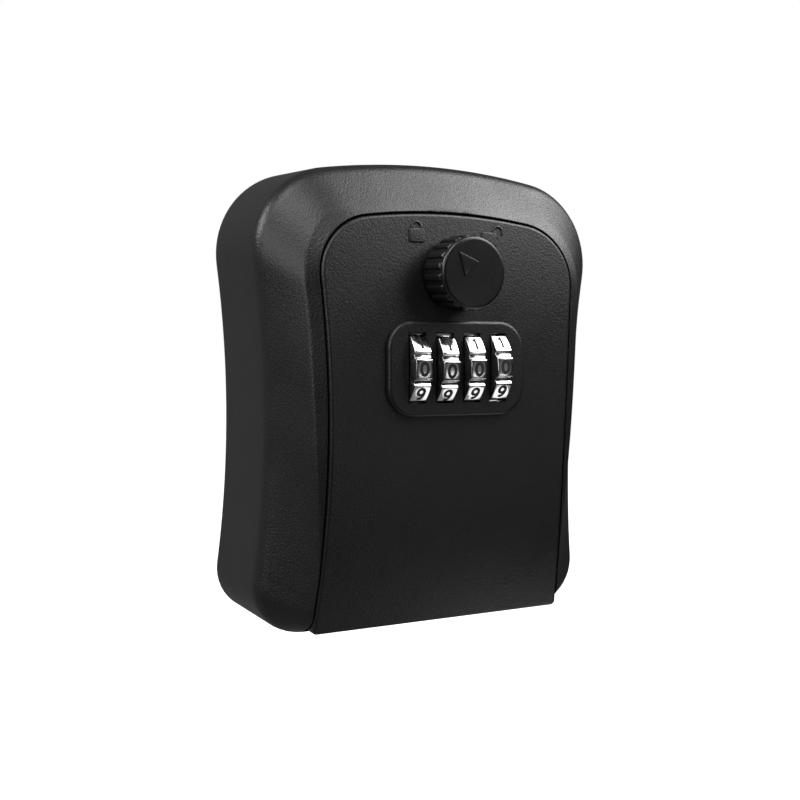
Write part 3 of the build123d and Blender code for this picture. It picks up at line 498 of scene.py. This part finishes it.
def make_case():
    """The outer moulding, cut for the doorway, the hinge and the strike."""
    outside = outline(CASE), outline(CASE, -DRAFT), outline(BEVEL)
    inside = outline(POCKET, GAP), outline(TRAY, TRAY_ROOM)
    paths = [case_path(*line) for line in zip(*outside, *inside)]
    case = skin("case_shell", list(zip(*paths)))
    cut(case, [
        prism("doorway", outline(DOORWAY, GAP - DOORWAY_INSET), HINGE_DEPTH, DOORWAY_FRONT),
        rod("barrel_room", HINGE_DEPTH, HINGE_Z, (-BARREL_X, BARREL_X), BARREL_R),
        rod("foot_room", HINGE_DEPTH, HINGE_Z, (-FOOT_X, FOOT_X), BARREL_R, math.pi / 2, 1.5 * math.pi, 36),
        slab("strike_room", STRIKE_ROOM, PLATE - 2 * RUN_ON, CORE_DEPTH + RUN_ON),
        slab("strike_recess", STRIKE_RECESS, CORE_DEPTH - STRIKE_DEPTH, CORE_DEPTH + STRIKE_DEPTH),
    ])
    shade(case, 32)
    piece(case, "case", case_plastic, ["case"])


make_case()


# ---------------------------------------------------------------- knob


def rib_height(angle, depth):
    """How far a rib stands out at an angle round the knob and a depth."""
    across = abs((angle * RIBS / (2 * math.pi)) % 1 - 0.5) * 2
    side = max(0.0, 1 - (across / RIB_SHARE) ** 4) ** 0.5
    to_end = min(depth - RIB_BACK, RIB_FRONT - depth)
    end = min(1.0, max(0.0, to_end / RIB_END))
    return RIB_UP * side * math.sqrt(1 - (1 - end) ** 2)


def make_knob():
    """A turned body with ribs round it and a rounded face edge."""
    steps = RIBS * 16
    profile = [(KNOB_BACK, KNOB_BODY_R - 2 * KNOB_BACK_EDGE), (KNOB_BACK, KNOB_BODY_R - KNOB_BACK_EDGE)]
    profile += [(KNOB_BACK + KNOB_BACK_EDGE, KNOB_BODY_R)]
    profile += [(RIB_BACK + (RIB_FRONT - RIB_BACK) * i / 60, KNOB_BODY_R) for i in range(61)]
    turn = [i * math.pi / 2 / 6 for i in range(7)]
    profile += [(KNOB_FRONT - KNOB_EDGE_R + KNOB_EDGE_R * math.sin(a),
                 KNOB_FACE_R - KNOB_EDGE_R + KNOB_EDGE_R * math.cos(a)) for a in turn]
    profile += [(KNOB_FRONT, KNOB_FACE_R * s) for s in (0.9, 0.6, 0.3, 0.04)]
    rings = []
    for depth, radius in profile:
        ring = []
        for i in range(steps):
            angle = 2 * math.pi * i / steps
            grown = radius + (rib_height(angle, depth) if radius == KNOB_BODY_R else 0)
            ring.append(point(grown * math.cos(angle), depth, KNOB_Z + grown * math.sin(angle)))
        rings.append(ring)
    knob = skin("knob_grip", rings, closed=False)
    shade(knob, 50)
    piece(knob, "knob", knob_plastic, ["knob"])


def make_pointer():
    """The raised triangle on the knob's face."""
    corners = [(x, KNOB_Z + z) for x, z in POINTER]
    pointer = prism("knob_pointer", corners, KNOB_FRONT - 2 * RUN_ON, KNOB_FRONT + POINTER_UP)
    round_edges(pointer, POINTER_EDGE)
    shade(pointer)
    piece(pointer, "knob", knob_plastic)


make_knob()
make_pointer()


# ---------------------------------------------------------------- padlock marks


def on_door(x, z, up):
    """A point at a height above the domed face of the door."""
    return point(x, dome_depth(z) + up, z)


def rounded_rectangle(x, z, wide, high, radius, inset):
    """Points round a rectangle with rounded corners, drawn in by an inset."""
    points = []
    for corner, (sx, sz) in enumerate(((1, 1), (-1, 1), (-1, -1), (1, -1))):
        cx, cz = x + sx * (wide / 2 - radius), z + sz * (high / 2 - radius)
        for i in range(9):
            a = math.pi / 2 * (corner + i / 8)
            reach = max(radius - inset, 0.02)
            points.append((cx + reach * math.cos(a), cz + reach * math.sin(a)))
    return points


def make_mark(name, x, shackle_x):
    """A raised padlock: a cushioned body and a round shackle, both sunk a little into the door."""
    levels = [(0.0, -3 * RUN_ON), (0.0, MARK_UP - MARK_EDGE)]
    levels += [(MARK_EDGE * (1 - math.cos(a)), MARK_UP - MARK_EDGE * (1 - math.sin(a)))
               for a in (math.pi / 12 * i for i in range(1, 7))]
    levels += [(MARK_CUSHION, MARK_UP + MARK_CROWN)]
    rings = []
    for inset, up in levels:
        outline_points = rounded_rectangle(x, MARK_Z, MARK_W, MARK_H, MARK_R, inset)
        rings.append([on_door(px, pz, up) for px, pz in outline_points])
    body = skin("mark_body", rings, closed=False)
    top = MARK_Z + SHACKLE_RISE
    path = [(shackle_x - SHACKLE_R, top - SHACKLE_LEG * (1 - i / 7)) for i in range(8)]
    path += [(shackle_x - SHACKLE_R * math.cos(a), top + SHACKLE_R * math.sin(a))
             for a in (math.pi / 24 * i for i in range(1, 24))]
    path += [(shackle_x + SHACKLE_R, top - SHACKLE_LEG * i / 7) for i in range(8)]
    rings = []
    for i, (px, pz) in enumerate(path):
        ahead, behind = path[min(i + 1, len(path) - 1)], path[max(i - 1, 0)]
        dx, dz = ahead[0] - behind[0], ahead[1] - behind[1]
        nx, nz = dz / math.hypot(dx, dz), -dx / math.hypot(dx, dz)
        ring = []
        for step in range(16):
            a = 2 * math.pi * step / 16
            side = SHACKLE_T * math.cos(a)
            ring.append(on_door(px + nx * side, pz + nz * side, SHACKLE_T * math.sin(a)))
        rings.append(ring)
    shackle = skin("mark_shackle", rings, closed=False)
    mark = joined(name, [body, shackle])
    shade(mark, 50)
    piece(mark, "door", door_plastic)


# ---------------------------------------------------------------- wheels


def wheel_section():
    """Points (radius, angle) round a wheel: a slightly crowned land for each digit, with grooves between."""
    section = []
    for digit in range(DIGITS):
        middle = 2 * math.pi * digit / DIGITS
        for i in range(9):
            share = i / 4 - 1
            across, up = LAND_HALF * share, LAND - LAND_CROWN * share**2
            section.append((math.hypot(across, up), middle + math.atan2(across, up)))
        section += [(GROOVE, middle + math.radians(angle)) for angle in GROOVE_FLOOR]
    return section


def wheel_point(x, radius, angle):
    """A point of a wheel centred on the axle line at x = 0."""
    return point(x, radius * math.cos(angle), radius * math.sin(angle))


def curve_points(x, y, rx, ry, start, end, steps=22):
    """Points along part of an ellipse, its angles in degrees from the right."""
    angles = [math.radians(start + (end - start) * i / steps) for i in range(steps + 1)]
    return [(x + rx * math.cos(a), y + ry * math.sin(a)) for a in angles]


# Strokes of each digit, inside a box from -1 to 1 across and up
STROKES = {
    0: [curve_points(0, 0, 0.9, 1, 90, 450, 40)],
    1: [[(-0.55, 0.62), (0.1, 1.0), (0.1, -1.0)]],
    2: [curve_points(0, 0.42, 0.85, 0.58, 165, -35) + [(-0.85, -1.0), (0.9, -1.0)]],
    3: [curve_points(-0.02, 0.5, 0.75, 0.5, 150, -90), curve_points(-0.02, -0.47, 0.87, 0.53, 90, -155)],
    4: [[(0.0, 1.0), (-0.9, -0.4), (0.95, -0.4)], [(0.45, -1.0), (0.45, 0.45)]],
    5: [[(0.75, 1.0), (-0.62, 1.0), (-0.72, 0.0)], curve_points(-0.02, -0.35, 0.87, 0.65, 142, -150)],
    6: [curve_points(0, -0.38, 0.82, 0.62, 0, 360, 32), curve_points(0.1, -0.2, 0.92, 1.2, 60, 190)],
    7: [[(-0.85, 1.0), (0.85, 1.0), (-0.25, -1.0)]],
    8: [curve_points(0, 0.5, 0.68, 0.5, 0, 360, 32), curve_points(0, -0.47, 0.84, 0.53, 0, 360, 32)],
    9: [curve_points(0, 0.38, 0.82, 0.62, 0, 360, 32), curve_points(-0.1, 0.2, 0.92, 1.2, -120, 10)],
}


def stroke_solid(points, place, low, high):
    """A flat-ended stroke of constant width, between two heights over a plane."""
    closed = math.dist(points[0], points[-1]) < 1e-6
    points = points[:-1] if closed else points
    count = len(points)
    rings = []
    for i, (x, y) in enumerate(points):
        before = points[(i - 1) % count] if closed or i else points[0]
        after = points[(i + 1) % count] if closed or i < count - 1 else points[-1]
        ins, outs = Vector((x - before[0], y - before[1])), Vector((after[0] - x, after[1] - y))
        ins = outs if ins.length < 1e-6 else ins
        outs = ins if outs.length < 1e-6 else outs
        ins, outs = ins.normalized(), outs.normalized()
        along = (ins + outs).normalized()
        reach = DIGIT_STROKE / 2 / max(along.dot(ins), STROKE_MITRE)
        across = Vector((-along.y, along.x)) * reach
        corners = [(across, low), (-across, low), (-across, high), (across, high)]
        rings.append([place @ (Vector((x + side.x, y + side.y, up)) * MM) for side, up in corners])
    return skin("stroke", rings, closed=closed)


def digit_solid(digit, low, high):
    """A digit as a solid, standing on the wheel's land between two radii."""
    angle = 2 * math.pi * digit / DIGITS
    out, up = Vector((0, -math.cos(angle), math.sin(angle))), Vector((0, math.sin(angle), math.cos(angle)))
    turn = Matrix((Vector((1, 0, 0)), up, out)).transposed().to_4x4()
    half_w, half_h = (DIGIT_W - DIGIT_STROKE) / 2, (DIGIT_H - DIGIT_STROKE) / 2
    strokes = [[(x * half_w, y * half_h) for x, y in points] for points in STROKES[digit]]
    made = stroke_solid(strokes[0], turn, low, high)
    for points in strokes[1:]:
        cut(made, [stroke_solid(points, turn, low - STROKE_STEP, high + STROKE_STEP)], "UNION")
    return made


def joined(name, parts):
    """Several mesh objects as one."""
    merged = bmesh.new()
    for part in parts:
        merged.from_mesh(part.data)
        bpy.data.objects.remove(part)
    made = mesh_object(name, [], [])
    merged.to_mesh(made.data)
    merged.free()
    return made


def copied(obj, name, place):
    """A copy of an object, with its mesh moved to a place."""
    made = bpy.data.objects.new(name, obj.data.copy())
    bpy.context.scene.collection.objects.link(made)
    made.data.transform(place)
    return made


def make_wheels():
    """Four wheels with engraved digits, and the paint that fills the digits."""
    section = wheel_section()
    outer = [[wheel_point(x, r, a) for r, a in section] for x in (-WHEEL_W / 2, WHEEL_W / 2)]
    inner = [[wheel_point(x, WHEEL_BORE, a) for _, a in section] for x in (WHEEL_W / 2, -WHEEL_W / 2)]
    wheel = skin("wheel", outer + inner)
    round_edges(wheel, WHEEL_EDGE, 3, 25)
    bottom, top = LAND - ENGRAVED, LAND + 4 * RUN_ON
    cut(wheel, [joined("digits", [digit_solid(d, bottom, top) for d in range(DIGITS)])])
    shade(wheel, 30)
    bottom, top = LAND - ENGRAVED - PAINT_DOWN, LAND - PAINT_DOWN
    fill = joined("fill", [digit_solid(d, bottom, top) for d in range(DIGITS)])
    shade(fill, 30)
    for number, turn in enumerate(WHEEL_TURN, 1):
        place = Matrix.Translation(point((number - 2.5) * PITCH, AXLE_DEPTH, AXLE_Z))
        place = place @ Matrix.Rotation(math.radians(-turn), 4, "X")
        ring = copied(wheel, f"dial_ring_{number}", place)
        digits = copied(fill, f"dial_digits_{number}", place)
        piece(ring, f"wheel_{number}", wheel_chrome, [f"dial_wheel_{number}"])
        piece(digits, f"wheel_{number}", digit_paint)
    bpy.data.objects.remove(wheel)
    bpy.data.objects.remove(fill)


make_wheels()
make_mark("mark_locked", LOCKED_X, LOCKED_X)
make_mark("mark_open", OPEN_X, OPEN_X + SHACKLE_OPEN)


# ---------------------------------------------------------------- studio


# Name, direction, distance, size and radiance of each softbox. The studio is in metres, except the
# camera's place, which is (x, depth, z) in millimetres
SOFT_BOXES = (
    ("key", (0.50, -0.34, 0.80), 0.8, (0.55, 0.5), 4.7),
    ("key_right", (0.74, -0.18, 0.65), 0.8, (0.3, 0.4), 6.0),
    ("right", (0.90, 0.0, 0.44), 0.8, (0.3, 0.3), 1.7),
    ("left", (-0.41, -0.37, 0.815), 0.8, (0.4, 0.4), 4.9),
    ("far_left", (-0.82, 0.20, 0.52), 0.8, (0.35, 0.35), 7.0),
    ("front_left", (-0.85, -0.45, 0.28), 0.8, (0.35, 0.45), 2.8),
    ("front_top", (0.64, -0.60, 0.47), 0.8, (0.45, 0.25), 3.0),
    ("mid", (0.478, -0.875, 0.03), 1.0, (0.34, 0.3), 0.11),
    ("low", (0.478, -0.875, -0.19), 1.0, (0.28, 0.15), 1.2),
    ("under", (0.085, -0.045, -0.15), 0.178, (0.1, 0.1), 1.1),
)
FLOOR_R = 1.3
FLOOR_Z = -0.16
FLOOR_GLOW = 0.9
BOUNCE_R = 0.22
BOUNCE_Z = -0.155
BOUNCE_GLOW = 0.2
SURROUND_R = 4.0
WORLD_FRONT = 0.01
WORLD_BACK = 0.17
AIM = Vector((0, -0.03, 0))
CAMERA_PLACE = (-142.8, 281.5, 21.9)
CAMERA_AHEAD = (0.478, 0.875, -0.073)
CAMERA_ROLL = 0.021
CAMERA_LENS = 50.77
CAMERA_SHIFT = (-0.0197, -0.010)


def soft_box(name, direction, distance, size, radiance):
    """A softbox in a direction from the middle of the key box, aimed at it."""
    light = bpy.data.lights.new(name, "AREA")
    light.shape = "RECTANGLE"
    light.size, light.size_y = size
    light.energy = radiance * math.pi * size[0] * size[1]
    holder = bpy.data.objects.new(name, light)
    bpy.context.scene.collection.objects.link(holder)
    place = Vector(direction).normalized() * distance
    holder.location = place + AIM
    holder.rotation_euler = (-place).to_track_quat("-Z", "Y").to_euler()
    holder.visible_camera = False


def glow(name, strength):
    """A plain white emitter for the surroundings."""
    made = bpy.data.materials.new(name)
    made.use_nodes = True
    tree = made.node_tree
    tree.nodes.remove(tree.nodes["Principled BSDF"])
    emitter = tree.nodes.new("ShaderNodeEmission")
    emitter.inputs["Color"].default_value = (1, 1, 1, 1)
    emitter.inputs["Strength"].default_value = strength
    tree.links.new(emitter.outputs["Emission"], tree.nodes["Material Output"].inputs["Surface"])
    return made


def disc(name, centre, radius, rings=12, steps=96):
    """A flat round sheet."""
    vertices = [Vector(centre)]
    for ring in range(1, rings + 1):
        for i in range(steps):
            a = 2 * math.pi * i / steps
            reach = radius * ring / rings
            vertices.append(Vector(centre) + Vector((reach * math.cos(a), reach * math.sin(a), 0)))
    faces = [(0, 1 + i, 1 + (i + 1) % steps) for i in range(steps)]
    for ring in range(rings - 1):
        a = 1 + ring * steps
        for i in range(steps):
            j = (i + 1) % steps
            faces.append((a + i, a + steps + i, a + steps + j, a + j))
    return mesh_object(name, vertices, faces)


def globe(name, radius, steps=64):
    """A round shell about the origin, its rings 8 degrees apart."""
    rings = []
    for up in [math.radians(angle) for angle in range(-88, 89, 8)]:
        flat = radius * math.cos(up)
        turns = [2 * math.pi * i / steps for i in range(steps)]
        rings.append([Vector((flat * math.cos(a), flat * math.sin(a), radius * math.sin(up))) for a in turns])
    return skin(name, rings, closed=False)


def make_studio():
    """A pale floor, a white surround that only the camera sees, a small card underneath, and the lights."""
    floor = disc("floor", (0, 0, FLOOR_Z), FLOOR_R)
    paper = Nodes("floor_paper")
    tone = paper.blend(paper.spread(paper.noise(400, 3, 0.6), 0, 1), (0.80, 0.80, 0.80), (0.84, 0.84, 0.84))
    paper.finish(Base_Color=tone, Roughness=0.9, Emission_Color=(1, 1, 1, 1), Emission_Strength=FLOOR_GLOW)
    floor.data.materials.append(paper.material)
    bounce = disc("bounce_card", (0, 0, BOUNCE_Z), BOUNCE_R)
    bounce.data.materials.append(glow("bounce_white", BOUNCE_GLOW))
    bounce.visible_camera = False
    surround = globe("surround", SURROUND_R)
    surround.data.materials.append(glow("surround_white", 1.0))
    for ray in ("diffuse", "glossy", "transmission", "volume_scatter", "shadow"):
        setattr(surround, f"visible_{ray}", False)
        setattr(floor, f"visible_{ray}", False)
    for box in SOFT_BOXES:
        soft_box(*box)


def make_world():
    """Dim light all round, brighter from behind on the left than from in front."""
    world = bpy.data.worlds.new("studio")
    bpy.context.scene.world = world
    world.use_nodes = True
    tree = world.node_tree
    place = tree.nodes.new("ShaderNodeTexCoord")
    side = tree.nodes.new("ShaderNodeVectorMath")
    side.operation = "DOT_PRODUCT"
    side.inputs[1].default_value = (-0.6, 0.8, 0.0)
    level = tree.nodes.new("ShaderNodeMapRange")
    level.interpolation_type = "SMOOTHSTEP"
    level.inputs["From Min"].default_value = -0.4
    level.inputs["From Max"].default_value = 1.0
    level.inputs["To Min"].default_value = WORLD_FRONT
    level.inputs["To Max"].default_value = WORLD_BACK
    tree.links.new(place.outputs["Generated"], side.inputs[0])
    tree.links.new(side.outputs["Value"], level.inputs["Value"])
    tree.links.new(level.outputs["Result"], tree.nodes["Background"].inputs["Strength"])
    tree.nodes["Background"].inputs["Color"].default_value = (1, 1, 1, 1)


def make_camera():
    """The camera, a little to the left of the key box and just above its middle."""
    ahead = Vector(CAMERA_AHEAD).normalized()
    right = ahead.cross(Vector((0, 0, 1))).normalized()
    up = right.cross(ahead)
    side = math.cos(CAMERA_ROLL) * right + math.sin(CAMERA_ROLL) * up
    top = math.cos(CAMERA_ROLL) * up - math.sin(CAMERA_ROLL) * right
    turn = Matrix((side, top, -ahead)).transposed().to_4x4()
    data = bpy.data.cameras.new("camera")
    data.sensor_width = 36
    data.lens = CAMERA_LENS
    data.shift_x, data.shift_y = CAMERA_SHIFT
    camera = bpy.data.objects.new("camera", data)
    bpy.context.scene.collection.objects.link(camera)
    camera.matrix_world = Matrix.Translation(point(*CAMERA_PLACE)) @ turn
    bpy.context.scene.camera = camera


make_studio()
make_world()
make_camera()
bpy.context.scene.view_settings.view_transform = "Standard"
